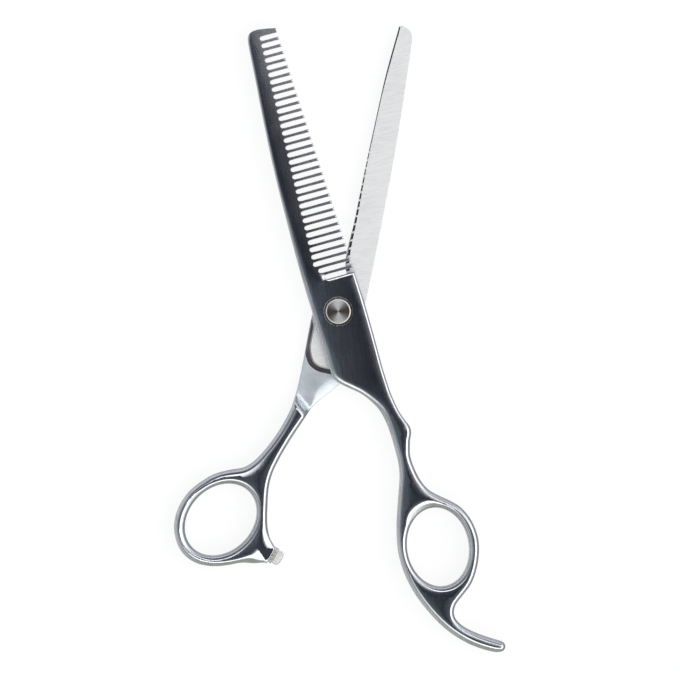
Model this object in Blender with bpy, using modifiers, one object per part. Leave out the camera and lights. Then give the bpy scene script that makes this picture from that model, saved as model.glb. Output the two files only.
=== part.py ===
"""Hairdresser's thinning shears, opened and lying flat, as separate solids.

Frame: origin on the pivot axis at the table, +Z up, the comb blade pointing up and left (+Y, -X).
The comb half lies on top of the plain half.  They meet at the ride plane, and both handles are
centred on it.  Outlines are in millimetres and become metres when a curve is made.
"""
import math

import bmesh
import bpy
from mathutils import Matrix, Vector

MM = 0.001

# Heights above the table
RIDE_Z = 2.95                 # plane where the two halves slide on each other
RIDE_CLEARANCE = 0.02         # from that plane to each blade's inner face
BLADE_THICKNESS = 2.33
HANDLE_HALF = RIDE_Z          # handles reach from the table to twice the ride height
COMB_INNER = RIDE_Z + RIDE_CLEARANCE
COMB_OUTER = COMB_INNER + BLADE_THICKNESS
PLAIN_INNER = RIDE_Z - RIDE_CLEARANCE
PLAIN_OUTER = PLAIN_INNER - BLADE_THICKNESS

# Edges
BLADE_BEVEL = 0.8
HANDLE_ROUNDING = 1.3
OUTLINE_SPACING = 2.6         # distance between points on an outline's long curves
TURN_PER_STEP = math.radians(18.0)
RING_POINTS = 48
ROUNDING_STEPS = 2            # extra rows of faces round each handle edge
SLOT_END_POINTS = 7
TURNED_STEPS = 40
SMOOTH_BELOW = math.radians(35.0)   # faces that meet at less than this are shaded as one

# Comb
TOOTH_COUNT = 33              # slender teeth; the blade's end makes one more, broad prong
TOOTH_PITCH = 2.17
SLOT_WIDTH = 1.25
FIRST_TOOTH = 2.40            # middle of the first slender tooth, measured along the tip line
TOOTH_RISE = math.radians(15.5)
TIP_LINE_TOP = Vector((-17.78, 81.63))
TIP_LINE_FOOT = Vector((4.85, 11.20))
ROOT_LINE_TOP = Vector((-22.85, 79.60))
ROOT_LINE_FOOT = Vector((-7.34, 13.77))
HEEL_SLOTS_SHORTER = (1.1, 2.3)   # the last two slots, towards the pivot
TIP_NOTCH_WIDTH = 0.6
TIP_NOTCH_DEPTH = 0.45
COMB_TIP_THICKNESS = 0.7
COMB_SLOPE = 0.16

# Grind of the plain blade's outer face, measured from the straight line its edge bows out to
GRIND_FOOT = Vector((0.75, 9.10))
GRIND_TIP = Vector((16.90, 82.70))
CUTTING_EDGE_THICKNESS = 0.14
CUTTING_SLOPE = 0.32

# Welds between blades and handles, and the shapes of the handles around them
COMB_WELD = (Vector((12.00, -24.40)), Vector((0.828, -0.560)))
PLAIN_WELD = (Vector((-9.96, -25.30)), Vector((-0.780, -0.626)))
WELD_GAP = 0.01
RAMP_LENGTH = 3.5             # inner face climbs to the handle's full thickness
SWELL_LENGTH = 15.0           # outer face swells from the blade to the handle
RELIEF_DEPTH = 0.25           # ground clearance around the ride pad
RIDE_PAD_RADIUS = 16.5
MIRROR_TURN = math.radians(4.7)

# Finger and thumb rings: centre, half-lengths, lean of the long half-length from +Y
FINGER_RING = (Vector((28.88, -68.27)), 11.50, 8.95, math.radians(9.5))
THUMB_RING = (Vector((-34.13, -60.32)), 11.55, 9.15, math.radians(-45.0))
FINGER_BAND = 2.95
THUMB_BAND = 3.10

# Pivot, from the post's head down to the screw's head on the table
BARREL_RADIUS = 2.20
BARREL_LOW = 1.58
BORE_PRESS = 2.22
BORE_RUNNING = 2.25
HEAD_RADIUS = 3.65
HEAD_LOW = COMB_OUTER - 0.33
HEAD_TOP = COMB_OUTER + 0.30
HEAD_CHAMFER = 0.35
RECESS_RADIUS = 4.10
HEAD_RECESS_FLOOR = COMB_OUTER - 0.55
REAR_RECESS_FLOOR = 1.55
GLIDE_RECESS_RADIUS = 3.80
GLIDE_RECESS_DEPTH = 0.30
THREAD_DEPTH_TOP = 4.60       # end of the post's threaded hole
SCREW_END = 4.30
SCREW_SHANK_RADIUS = 1.30
SCREW_HEAD_RADIUS = 3.50
SCREW_HEAD_TOP = 0.70
SCREW_BEVEL = 0.25
DRIVER_SLOT_WIDTH = 0.90
DRIVER_SLOT_DEPTH = 0.40
FIT = 0.03                    # running clearance in the pivot
FLAT_WASHER_THICKNESS = 0.30
SPRING_WASHER_THICKNESS = 0.25
SPRING_WASHER_DISH = 0.20
WASHER_BORE_SMALL = SCREW_SHANK_RADIUS + 0.15

# Bumper, on a spur of the thumb ring
BUMPER_BASE = Vector((-19.28, -70.42, RIDE_Z))
BUMPER_TILT = math.radians(-30.0)
BUMPER_RADIUS = 2.45
BUMPER_LENGTH = 3.25
BUMPER_POCKET_RADIUS = 1.70   # hollow of the cap, around the screw's head
BUMPER_POCKET_DEPTH = 1.15
BUMPER_SCREW_RADIUS = 0.90
BUMPER_SCREW_LENGTH = 2.80

LOOKS = {
    "polished_steel": ((0.56, 0.58, 0.61), 0.12, 1.0),
    "ground_steel": ((0.72, 0.72, 0.73), 0.32, 1.0),
    "turned_steel": ((0.66, 0.64, 0.61), 0.24, 1.0),
    "spring_steel": ((0.38, 0.38, 0.40), 0.35, 1.0),
    "washer_plastic": ((0.86, 0.86, 0.82), 0.45, 0.0),
    "clear_plastic": ((0.84, 0.85, 0.84), 0.18, 0.0),
    "brass": ((0.72, 0.55, 0.32), 0.30, 1.0),
}


# Scene and outline helpers

def clear_scene():
    for obj in list(bpy.context.scene.objects):
        bpy.data.objects.remove(obj, do_unlink=True)


def new_collection(name):
    collection = bpy.data.collections.new(name)
    bpy.context.scene.collection.children.link(collection)
    return collection


def make_material(name):
    colour, roughness, metallic = LOOKS[name]
    material = bpy.data.materials.new(name)
    material.use_nodes = True
    shader = material.node_tree.nodes["Principled BSDF"]
    shader.inputs["Base Color"].default_value = (*colour, 1.0)
    shader.inputs["Roughness"].default_value = roughness
    shader.inputs["Metallic"].default_value = metallic
    return material


def spline(points, spacing=OUTLINE_SPACING):
    """Smooth curve through the points, ends included, with more steps where it turns sharply."""
    ends = [points[0] * 2 - points[1], *points, points[-1] * 2 - points[-2]]
    curve = [points[0].copy()]
    for before, start, stop, after in zip(ends, ends[1:], ends[2:], ends[3:]):
        knots = [0.0]
        for a, b in ((before, start), (start, stop), (stop, after)):
            knots.append(knots[-1] + math.sqrt((b - a).length))
        turning = (start - before).angle(after - stop)
        steps = max(1, round((stop - start).length / spacing), math.ceil(turning / TURN_PER_STEP))
        for step in range(1, steps + 1):
            t = knots[1] + (knots[2] - knots[1]) * step / steps
            a1 = before.lerp(start, (t - knots[0]) / (knots[1] - knots[0]))
            a2 = start.lerp(stop, (t - knots[1]) / (knots[2] - knots[1]))
            a3 = stop.lerp(after, (t - knots[2]) / (knots[3] - knots[2]))
            b1 = a1.lerp(a2, (t - knots[0]) / (knots[2] - knots[0]))
            b2 = a2.lerp(a3, (t - knots[1]) / (knots[3] - knots[1]))
            curve.append(b1.lerp(b2, (t - knots[1]) / (knots[2] - knots[1])))
    return curve


def points_of(*pairs):
    return [Vector(pair) for pair in pairs]


def ellipse(ring, grow=0.0, angles=None):
    """Points on a ring's ellipse at angles in degrees from its own +X; all round by default."""
    centre, long_half, short_half, lean = ring
    turn = Matrix.Rotation(lean, 2)
    if angles is None:
        angles = [360.0 * index / RING_POINTS for index in range(RING_POINTS)]
    result = []
    for angle in map(math.radians, angles):
        local = Vector(((short_half + grow) * math.cos(angle), (long_half + grow) * math.sin(angle)))
        result.append(centre + turn @ local)
    return result


def joined(*chains):
    """One closed outline from several chains, dropping points that repeat."""
    outline = []
    for point in (p for chain in chains for p in chain):
        if not outline or (point - outline[-1]).length > 0.05:
            outline.append(point)
    if (outline[0] - outline[-1]).length < 0.05:
        outline.pop()
    return outline


def circle_arc(centre, radius, start, stop, count):
    step = (stop - start) / (count - 1)
    return [centre + radius * Vector((math.cos(start + step * i), math.sin(start + step * i)))
            for i in range(count)]


# Solid helpers

def mesh_object(name, mesh, collection, material=None):
    obj = bpy.data.objects.new(name, mesh)
    collection.objects.link(obj)
    if material:
        mesh.materials.clear()
        mesh.materials.append(material)
    return obj


def flat_mesh(name, outlines, low, high, rounding=0.0, rounding_steps=0):
    """Closed mesh of a flat plate: first outline outside, the others are its holes."""
    curve = bpy.data.curves.new(name, "CURVE")
    curve.dimensions = "2D"
    curve.fill_mode = "BOTH"
    curve.extrude = ((high - low) / 2 - rounding) * MM
    curve.bevel_depth = rounding * MM
    curve.bevel_resolution = rounding_steps
    curve.offset = -rounding * MM
    for outline in outlines:
        path = curve.splines.new("POLY")
        path.points.add(len(outline) - 1)
        for knot, point in zip(path.points, outline):
            knot.co = (point.x * MM, point.y * MM, 0.0, 1.0)
        path.use_cyclic_u = True
    holder = bpy.data.objects.new(name, curve)
    bpy.context.scene.collection.objects.link(holder)
    depsgraph = bpy.context.evaluated_depsgraph_get()
    mesh = bpy.data.meshes.new_from_object(holder.evaluated_get(depsgraph))
    bpy.data.objects.remove(holder)
    bpy.data.curves.remove(curve)
    mesh.name = name
    mesh.transform(Matrix.Translation((0.0, 0.0, (low + high) / 2 * MM)))
    shape = bmesh.new()
    shape.from_mesh(mesh)
    bmesh.ops.remove_doubles(shape, verts=shape.verts, dist=1e-7)
    bmesh.ops.recalc_face_normals(shape, faces=shape.faces)
    shape.to_mesh(mesh)
    shape.free()
    return mesh


def slice_off(mesh, point, normal):
    """Remove what lies beyond a plane, on the side its normal points to, and close the cut."""
    shape = bmesh.new()
    shape.from_mesh(mesh)
    geometry = [*shape.verts, *shape.edges, *shape.faces]
    bmesh.ops.bisect_plane(shape, geom=geometry, dist=1e-7, plane_co=Vector(point) * MM,
                           plane_no=normal, clear_outer=True)
    rim = [edge for edge in shape.edges if edge.is_boundary]
    bmesh.ops.holes_fill(shape, edges=rim, sides=0)
    bmesh.ops.recalc_face_normals(shape, faces=shape.faces)
    shape.to_mesh(mesh)
    shape.free()


def subtract(obj, cutter):
    modifier = obj.modifiers.new(cutter.name, "BOOLEAN")
    modifier.operation = "DIFFERENCE"
    modifier.solver = "EXACT"
    modifier.object = cutter
    cutter.hide_render = True
    cutter.display_type = "WIRE"


def prism(name, section, reach, matrix, collection):
    """Cutter with a flat section in its own XY, reaching both ways along its own Z."""
    mesh = flat_mesh(name, [section], -reach, reach)
    mesh.transform(matrix)
    return mesh_object(name, mesh, collection)


def upright_frame(origin, along):
    """Matrix whose X is a level direction, whose Y is up and whose Z is level across them."""
    x_axis = Vector((along.x, along.y, 0.0)).normalized()
    up = Vector((0.0, 0.0, 1.0))
    across = x_axis.cross(up)
    turn = Matrix((x_axis, up, across)).transposed().to_4x4()
    return Matrix.Translation(Vector((origin.x, origin.y, 0.0)) * MM) @ turn


def cylinder(name, radius, low, high, collection, matrix=Matrix()):
    mesh = bpy.data.meshes.new(name)
    shape = bmesh.new()
    bmesh.ops.create_cone(shape, cap_ends=True, segments=TURNED_STEPS, radius1=radius * MM,
                          radius2=radius * MM, depth=(high - low) * MM,
                          matrix=Matrix.Translation((0.0, 0.0, (low + high) / 2 * MM)))
    shape.to_mesh(mesh)
    shape.free()
    mesh.transform(matrix)
    return mesh_object(name, mesh, collection)


def turned(name, profile, collection, material, closed=False):
    """Solid of revolution about the object's Z; the profile runs down its outer side."""
    mesh = bpy.data.meshes.new(name)
    verts = [(radius * MM, 0.0, height * MM) for radius, height in profile]
    edges = [(i, i + 1) for i in range(len(verts) - 1)]
    if closed:
        edges.append((len(verts) - 1, 0))
    mesh.from_pydata(verts, edges, [])
    obj = mesh_object(name, mesh, collection, material)
    screw = obj.modifiers.new("turn", "SCREW")
    screw.steps = TURNED_STEPS
    screw.render_steps = TURNED_STEPS
    screw.use_merge_vertices = True
    screw.merge_threshold = 1e-6
    return obj


def settle(obj):
    """Give the object its modified mesh for good, with round faces smooth and corners sharp."""
    depsgraph = bpy.context.evaluated_depsgraph_get()
    mesh = bpy.data.meshes.new_from_object(obj.evaluated_get(depsgraph))
    obj.modifiers.clear()
    obj.data = mesh
    mesh.name = obj.name
    mesh.shade_smooth()
    mesh.set_sharp_from_angle(angle=SMOOTH_BELOW)


# Outlines of the comb half, counter-clockwise from the tip

def comb_spine():
    tip = points_of((-18.21, 82.21), (-20.97, 82.00), (-23.29, 81.70), (-25.00, 81.10),
                    (-26.00, 80.10), (-26.25, 78.70))
    back = points_of((-26.25, 78.70), (-21.80, 55.50), (-18.70, 41.00), (-14.95, 25.95),
                     (-11.40, 12.60), (-7.60, -0.15), (-3.95, -11.20), (-1.40, -19.20))
    return spline(tip) + spline(back, 12.0)


def comb_heel():
    return spline(points_of((-1.40, -19.20), (0.58, -20.90), (6.18, -23.60), (9.08, -25.66),
                            (11.92, -28.65), (14.18, -33.00), (15.90, -38.15), (17.34, -43.65)))


def comb_hump():
    """Front side of the handle where it steps in to the shank."""
    return spline(points_of((20.80, -37.27), (21.10, -35.00), (20.70, -33.30), (19.35, -31.50),
                            (17.40, -28.56)))


def comb_front():
    """Front side of the shank, from the hump up to the comb's heel."""
    return spline(points_of((17.40, -28.56), (14.85, -22.80), (13.00, -16.96), (10.64, -8.26),
                            (7.34, 3.33), (4.85, 11.20)), 6.0)


def finger_ring_side():
    """From the heel side of the handle round the finger rest and the ring to the hump."""
    left = points_of((17.34, -43.65), (17.75, -47.42), (17.28, -54.66), (16.85, -63.37),
                     (17.63, -71.20), (20.70, -79.30), (25.58, -86.40), (31.70, -92.50),
                     (38.48, -96.60), (45.44, -98.70))
    tip = circle_arc(Vector((46.90, -97.10)), 1.50, math.radians(-80.0), math.radians(65.0), 8)
    rest = points_of((44.05, -94.67), (39.70, -93.10), (35.80, -91.00), (33.87, -88.80),
                     (33.50, -86.86), (34.08, -84.90), (35.87, -82.50), (38.50, -78.90))
    right = ellipse(FINGER_RING, FINGER_BAND, (-28.0, 0.0, 25.0, 48.0))
    top = points_of((29.60, -53.60), (26.40, -51.85), (24.15, -49.40), (22.20, -45.85),
                    (20.80, -41.60), (20.80, -37.27))
    return spline(left + tip + rest + right + top)


def comb_blade_outline():
    """The blade, reaching past its weld line, where it is sliced off."""
    heel = [point for point in comb_heel() if point.y > -31.0]
    return joined(comb_spine(), heel, comb_front())


def finger_handle_outline():
    """The handle, reaching past the same weld line from below."""
    heel = [point for point in comb_heel() if point.y < -22.5]
    front = [point for point in comb_front() if point.y < -16.0]
    return joined(heel, finger_ring_side(), comb_hump(), front)


# Outlines of the plain half, clockwise from the tip

def plain_spine():
    tip = points_of((17.65, 82.70), (18.95, 82.60), (20.80, 81.30), (21.38, 80.15), (21.36, 78.73))
    back = points_of((21.36, 78.73), (19.70, 67.13), (17.00, 49.73), (14.40, 35.23), (10.90, 17.25),
                     (7.98, 3.33), (5.57, -6.81), (3.20, -17.00))
    return spline(tip) + spline(back, 12.0)


def plain_heel():
    return spline(points_of((3.20, -17.00), (2.80, -18.99), (0.80, -20.77), (-2.40, -23.26),
                            (-7.83, -27.93), (-9.90, -31.15), (-13.90, -37.20), (-16.60, -41.73)))


def plain_front():
    """Front side of the shank, from the handle up to the heel of the cutting edge."""
    return spline(points_of((-12.87, -25.60), (-12.05, -22.75), (-10.67, -16.65), (-8.55, -5.36),
                            (-7.40, -0.35), (-6.18, 2.46), (-3.57, 5.36), (1.24, 8.40)))


def cutting_edge():
    return spline(points_of((1.24, 8.40), (2.05, 13.20), (4.85, 27.10), (7.70, 41.05),
                            (10.70, 54.95), (13.85, 68.90), (17.65, 82.70)), 12.0)


def thumb_ring_side():
    """From the heel side of the handle round the spur and the ring to its front side."""
    axis = Vector((math.cos(BUMPER_TILT), math.sin(BUMPER_TILT)))
    inside = points_of((-16.60, -41.73), (-18.80, -46.10), (-20.10, -50.50), (-20.55, -56.10),
                       (-20.60, -61.90), (-19.85, -65.75), (-18.30, -68.45))
    outside = points_of((-21.20, -72.80), (-24.45, -72.95), (-27.93, -72.80), (-31.50, -73.40))
    ring = ellipse(THUMB_RING, THUMB_BAND, (-50.0, -75.0, -100.0, -130.0, -155.0, -180.0, -200.0))
    top = points_of((-37.60, -47.90), (-34.60, -46.65), (-31.43, -45.90), (-27.67, -45.25),
                    (-24.75, -43.57), (-21.60, -40.40), (-18.30, -36.10), (-16.00, -32.45),
                    (-13.67, -27.87), (-12.87, -25.60))
    beyond = [inside[-1] + axis * 3.0, outside[0] + axis * 3.0]
    return spline(inside) + beyond + spline(outside + ring + top)


def plain_blade_outline():
    """The blade, reaching past its weld line, where it is sliced off."""
    heel = [point for point in plain_heel() if point.y > -30.0]
    return joined(plain_spine(), heel, plain_front(), cutting_edge())


def thumb_handle_outline():
    """The handle, reaching past the same weld line from below."""
    heel = [point for point in plain_heel() if point.y < -24.5]
    front = [point for point in plain_front() if point.y < -15.0]
    return joined(heel, thumb_ring_side(), front)


# Cutters

def tooth_direction():
    """Level direction along a tooth, from its tip to its root."""
    return Vector((-math.cos(TOOTH_RISE), -math.sin(TOOTH_RISE)))


def on_tip_line(pitches):
    """Point on the line of tooth tips, counted in pitches from the first slender tooth."""
    along = (TIP_LINE_FOOT - TIP_LINE_TOP).normalized()
    return TIP_LINE_TOP + along * (FIRST_TOOTH + pitches * TOOTH_PITCH)


def slot_outlines():
    """Round-ended slots between the teeth, from beyond the tips to the line of roots."""
    inward = tooth_direction()
    facing = math.atan2(inward.y, inward.x)
    root = (ROOT_LINE_FOOT - ROOT_LINE_TOP).normalized()
    root_normal = Vector((-root.y, root.x))
    half = SLOT_WIDTH / 2
    side = Vector((inward.y, -inward.x)) * half
    outlines = []
    for index in range(TOOTH_COUNT + 1):
        middle = on_tip_line(index - 0.5)
        depth = (ROOT_LINE_TOP - middle).dot(root_normal) / inward.dot(root_normal)
        from_heel = TOOTH_COUNT - index
        if from_heel < len(HEEL_SLOTS_SHORTER):
            depth -= HEEL_SLOTS_SHORTER[-1 - from_heel]
        mouth = middle - inward * 3.0
        bottom = middle + inward * (depth - half)
        arc = circle_arc(bottom, half, facing - math.pi / 2, facing + math.pi / 2,
                         SLOT_END_POINTS)
        outlines.append([mouth + side, *arc, mouth - side])
    return outlines


def notch_outlines():
    """The small notch in each slender tooth's tip."""
    inward = tooth_direction()
    half_mouth = Vector((inward.y, -inward.x)) * TIP_NOTCH_WIDTH / 2
    clear = inward * 0.3
    outlines = []
    for index in range(TOOTH_COUNT):
        end = on_tip_line(index)
        outlines.append([end - clear - half_mouth, end - clear + half_mouth,
                         end + inward * TIP_NOTCH_DEPTH])
    return outlines


def comb_slope_cutter(collection):
    """Leaves the comb's outer face sloping down from the spine to the tooth tips."""
    along = (TIP_LINE_TOP - TIP_LINE_FOOT).normalized()
    inward = Vector((-along.y, along.x))
    outside, inside, above = -4.0, 14.0, COMB_OUTER + 6.0
    tip_height = COMB_INNER + COMB_TIP_THICKNESS
    section = points_of((outside, tip_height + outside * COMB_SLOPE),
                        (inside, tip_height + inside * COMB_SLOPE), (inside, above), (outside, above))
    middle = TIP_LINE_FOOT + along * 40.0
    cutter = prism("comb_slope", section, 60.0, upright_frame(middle, inward), collection)
    tooth = tooth_direction()
    pivot_side = Vector((-tooth.y, tooth.x, 0.0))
    heel = TIP_LINE_FOOT.to_3d() + pivot_side * 0.02
    slice_off(cutter.data, heel, pivot_side)
    return cutter


def cutting_slope_cutter(collection):
    """Grinds the plain blade's outer face down to the cutting edge."""
    along = (GRIND_TIP - GRIND_FOOT).normalized()
    inward = Vector((along.y, -along.x))
    outside, inside, below = -6.0, 14.0, PLAIN_OUTER - 8.0
    edge_height = PLAIN_INNER - CUTTING_EDGE_THICKNESS
    section = points_of((outside, edge_height), (0.0, edge_height),
                        (inside, edge_height - inside * CUTTING_SLOPE), (inside, below), (outside, below))
    middle = GRIND_FOOT + along * 39.5
    return prism("cutting_slope", section, 40.0, upright_frame(middle, inward), collection)


def relief_outline():
    """Ground area around the plain half's ride pad, down past the weld."""
    pad_side = spline(points_of((-7.60, -1.20), (-6.90, -4.20), (-7.90, -9.70), (-7.75, -12.20),
                                (-6.90, -14.50), (-5.40, -15.59)), 2.5)
    start = math.atan2(-15.59, -5.40)
    stop = math.radians(-52.0)
    arc = circle_arc(Vector((0.0, 0.0)), RIDE_PAD_RADIUS, start, stop, 7)
    outside = points_of((12.0, -34.0), (-18.0, -34.0), (-14.0, -20.0), (-10.5, -3.0))
    return joined(pad_side, arc, outside)


def mirrored(outline):
    """The same shape on the comb half, which is the plain half's mirror image, turned a little."""
    turn = Matrix.Rotation(MIRROR_TURN, 2)
    return [turn @ Vector((-point.x, point.y)) for point in outline]


def weld_wedge(name, weld, level, start, stop, full, collection):
    """Cutter across a handle: flat at one level up to start, then sloping to another at stop.

    Distances are from the weld line along the handle.
    """
    behind = -12.0
    far = full + math.copysign(6.0, full - level)
    section = points_of((behind, level), (start, level), (stop, full), (stop, far), (behind, far))
    return prism(name, section, 22.0, upright_frame(*weld), collection)


def weld_ramp(name, weld, inner, outward, collection):
    """Removes the handle's inner side next to the weld; outward is +1 to cut upwards."""
    level = inner - outward * RELIEF_DEPTH
    full = RIDE_Z + outward * (HANDLE_HALF + 0.5)
    return weld_wedge(name, weld, level, 0.6, RAMP_LENGTH, full, collection)


def weld_swell(name, weld, outer, outward, collection):
    """Lets the handle's outer side swell from the blade's face to its full thickness."""
    full = RIDE_Z + outward * (HANDLE_HALF + 0.02)
    return weld_wedge(name, weld, outer, 0.0, SWELL_LENGTH, full, collection)


# The pieces

def handle_mesh(name, outline, ring, weld):
    hole = ellipse(ring)
    hole.reverse()
    mesh = flat_mesh(name, [outline, hole], RIDE_Z - HANDLE_HALF, RIDE_Z + HANDLE_HALF,
                     HANDLE_ROUNDING, ROUNDING_STEPS)
    point, normal = weld
    edge = point + normal * WELD_GAP
    slice_off(mesh, (edge.x, edge.y, 0.0), (-normal.x, -normal.y, 0.0))
    return mesh


def blade_mesh(name, outline, inner, outward, weld):
    """Plate bevelled on its outer side only: made double, then sliced at the inner face."""
    mesh = flat_mesh(name, [outline], inner - BLADE_THICKNESS, inner + BLADE_THICKNESS, BLADE_BEVEL)
    slice_off(mesh, (0.0, 0.0, inner), (0.0, 0.0, -outward))
    point, normal = weld
    edge = point - normal * WELD_GAP
    slice_off(mesh, (edge.x, edge.y, 0.0), (normal.x, normal.y, 0.0))
    return mesh


def build_comb_blade(parts, cutters, material):
    mesh = blade_mesh("comb_blade", comb_blade_outline(), COMB_INNER, 1.0, COMB_WELD)
    blade = mesh_object("comb_blade", mesh, parts, material)
    subtract(blade, comb_slope_cutter(cutters))
    slots = flat_mesh("comb_slots", slot_outlines() + notch_outlines(), RIDE_Z - 1.0, COMB_OUTER + 2.0)
    subtract(blade, mesh_object("comb_slots", slots, cutters))
    relief = flat_mesh("comb_relief", [mirrored(relief_outline())], RIDE_Z - 1.0,
                       COMB_INNER + RELIEF_DEPTH)
    subtract(blade, mesh_object("comb_relief", relief, cutters))
    above, below = COMB_OUTER + 3.0, COMB_INNER - 3.0
    subtract(blade, cylinder("comb_bore", BORE_PRESS, below, above, cutters))
    subtract(blade, cylinder("head_recess", RECESS_RADIUS, HEAD_RECESS_FLOOR, above, cutters))
    subtract(blade, cylinder("glide_recess", GLIDE_RECESS_RADIUS, below,
                             COMB_INNER + GLIDE_RECESS_DEPTH, cutters))


def build_plain_blade(parts, cutters, material):
    mesh = blade_mesh("plain_blade", plain_blade_outline(), PLAIN_INNER, -1.0, PLAIN_WELD)
    blade = mesh_object("plain_blade", mesh, parts, material)
    subtract(blade, cutting_slope_cutter(cutters))
    relief = flat_mesh("plain_relief", [relief_outline()], PLAIN_INNER - RELIEF_DEPTH, RIDE_Z + 1.0)
    subtract(blade, mesh_object("plain_relief", relief, cutters))
    above, below = PLAIN_INNER + 3.0, PLAIN_OUTER - 3.0
    subtract(blade, cylinder("plain_bore", BORE_RUNNING, below, above, cutters))
    subtract(blade, cylinder("rear_recess", RECESS_RADIUS, below, REAR_RECESS_FLOOR, cutters))


def build_finger_handle(parts, cutters, material):
    mesh = handle_mesh("finger_handle", finger_handle_outline(), FINGER_RING, COMB_WELD)
    handle = mesh_object("finger_handle", mesh, parts, material)
    subtract(handle, weld_ramp("finger_ramp", COMB_WELD, COMB_INNER, -1.0, cutters))
    subtract(handle, weld_swell("finger_swell", COMB_WELD, COMB_OUTER, 1.0, cutters))


def build_thumb_handle(parts, cutters, material):
    mesh = handle_mesh("thumb_handle", thumb_handle_outline(), THUMB_RING, PLAIN_WELD)
    axis = Vector((math.cos(BUMPER_TILT), math.sin(BUMPER_TILT), 0.0))
    slice_off(mesh, BUMPER_BASE - axis * FIT, axis)
    handle = mesh_object("thumb_handle", mesh, parts, material)
    subtract(handle, weld_ramp("thumb_ramp", PLAIN_WELD, PLAIN_INNER, 1.0, cutters))
    subtract(handle, weld_swell("thumb_swell", PLAIN_WELD, PLAIN_OUTER, -1.0, cutters))
    subtract(handle, cylinder("bumper_hole", BUMPER_SCREW_RADIUS + FIT, -BUMPER_SCREW_LENGTH - 0.1,
                              1.0, cutters, bumper_matrix()))


def build_pivot_post(parts, material):
    hole = SCREW_SHANK_RADIUS + FIT
    profile = ((0.0, HEAD_TOP), (HEAD_RADIUS - HEAD_CHAMFER, HEAD_TOP),
               (HEAD_RADIUS, HEAD_TOP - HEAD_CHAMFER), (HEAD_RADIUS, HEAD_LOW),
               (BARREL_RADIUS, HEAD_LOW), (BARREL_RADIUS, BARREL_LOW), (hole, BARREL_LOW),
               (hole, THREAD_DEPTH_TOP), (0.0, THREAD_DEPTH_TOP))
    turned("pivot_post", profile, parts, material)


def build_tension_screw(parts, cutters, material):
    profile = ((0.0, SCREW_END), (SCREW_SHANK_RADIUS - SCREW_BEVEL, SCREW_END),
               (SCREW_SHANK_RADIUS, SCREW_END - SCREW_BEVEL), (SCREW_SHANK_RADIUS, SCREW_HEAD_TOP),
               (SCREW_HEAD_RADIUS, SCREW_HEAD_TOP), (SCREW_HEAD_RADIUS, SCREW_BEVEL),
               (SCREW_HEAD_RADIUS - SCREW_BEVEL, 0.0), (0.0, 0.0))
    screw = turned("tension_screw", profile, parts, material)
    half = DRIVER_SLOT_WIDTH / 2
    section = points_of((-half, -1.0), (half, -1.0), (half, DRIVER_SLOT_DEPTH),
                        (-half, DRIVER_SLOT_DEPTH))
    across = upright_frame(Vector((0.0, 0.0)), Vector((0.0, 1.0)))
    subtract(screw, prism("driver_slot", section, 6.0, across, cutters))


def build_washer(name, bore, outer, low, thickness, dish, parts, material):
    """Flat ring, or a dished one whose outer rim stands higher by the dish."""
    high = low + thickness
    turned(name, ((bore, high), (outer, high + dish), (outer, low + dish), (bore, low)),
           parts, material, closed=True)


def build_washers(parts, materials):
    head_low = HEAD_RECESS_FLOOR + 0.02
    build_washer("head_washer", BORE_RUNNING, 3.95, head_low, HEAD_LOW - 0.02 - head_low, 0.0,
                 parts, materials["turned_steel"])
    glide_low = PLAIN_INNER + 0.01
    glide_high = COMB_INNER + GLIDE_RECESS_DEPTH - 0.02
    build_washer("glide_washer", BORE_RUNNING, 3.70, glide_low, glide_high - glide_low, 0.0,
                 parts, materials["washer_plastic"])
    flat_low = SCREW_HEAD_TOP + FIT
    build_washer("flat_washer", WASHER_BORE_SMALL, 3.80, flat_low, FLAT_WASHER_THICKNESS, 0.0,
                 parts, materials["turned_steel"])
    spring_low = flat_low + FLAT_WASHER_THICKNESS + FIT
    build_washer("spring_washer", WASHER_BORE_SMALL, 3.70, spring_low, SPRING_WASHER_THICKNESS,
                 SPRING_WASHER_DISH, parts, materials["spring_steel"])


def bumper_matrix():
    """Places things turned about +Z on the bumper's axis, base at the spur, tip outwards."""
    across = Matrix.Rotation(math.radians(90.0), 4, "Y")
    return Matrix.Translation(BUMPER_BASE * MM) @ Matrix.Rotation(BUMPER_TILT, 4, "Z") @ across


def build_bumper(parts, materials):
    holder = bpy.data.objects.new("bumper_axis", None)
    parts.objects.link(holder)
    holder.matrix_world = bumper_matrix()
    crown = ((0.0, BUMPER_LENGTH), (1.45, BUMPER_LENGTH - 0.05), (1.95, BUMPER_LENGTH - 0.45),
             (2.20, 1.60), (2.15, 1.30), (2.30, 1.00))
    base = ((BUMPER_RADIUS, 0.80), (BUMPER_RADIUS, 0.0), (BUMPER_POCKET_RADIUS, 0.0),
            (BUMPER_POCKET_RADIUS, BUMPER_POCKET_DEPTH), (0.0, BUMPER_POCKET_DEPTH))
    cap = turned("bumper_cap", crown + base, parts, materials["clear_plastic"])
    head_radius = BUMPER_POCKET_RADIUS - 0.05
    head_top = BUMPER_POCKET_DEPTH - 0.05
    head = ((0.0, head_top), (head_radius - 0.2, head_top), (head_radius, head_top - 0.2),
            (head_radius, FIT), (BUMPER_SCREW_RADIUS, FIT))
    shank = ((BUMPER_SCREW_RADIUS, 0.25 - BUMPER_SCREW_LENGTH),
             (BUMPER_SCREW_RADIUS - 0.25, -BUMPER_SCREW_LENGTH), (0.0, -BUMPER_SCREW_LENGTH))
    screw = turned("bumper_screw", head + shank, parts, materials["brass"])
    for piece in (cap, screw):
        piece.parent = holder


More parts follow.
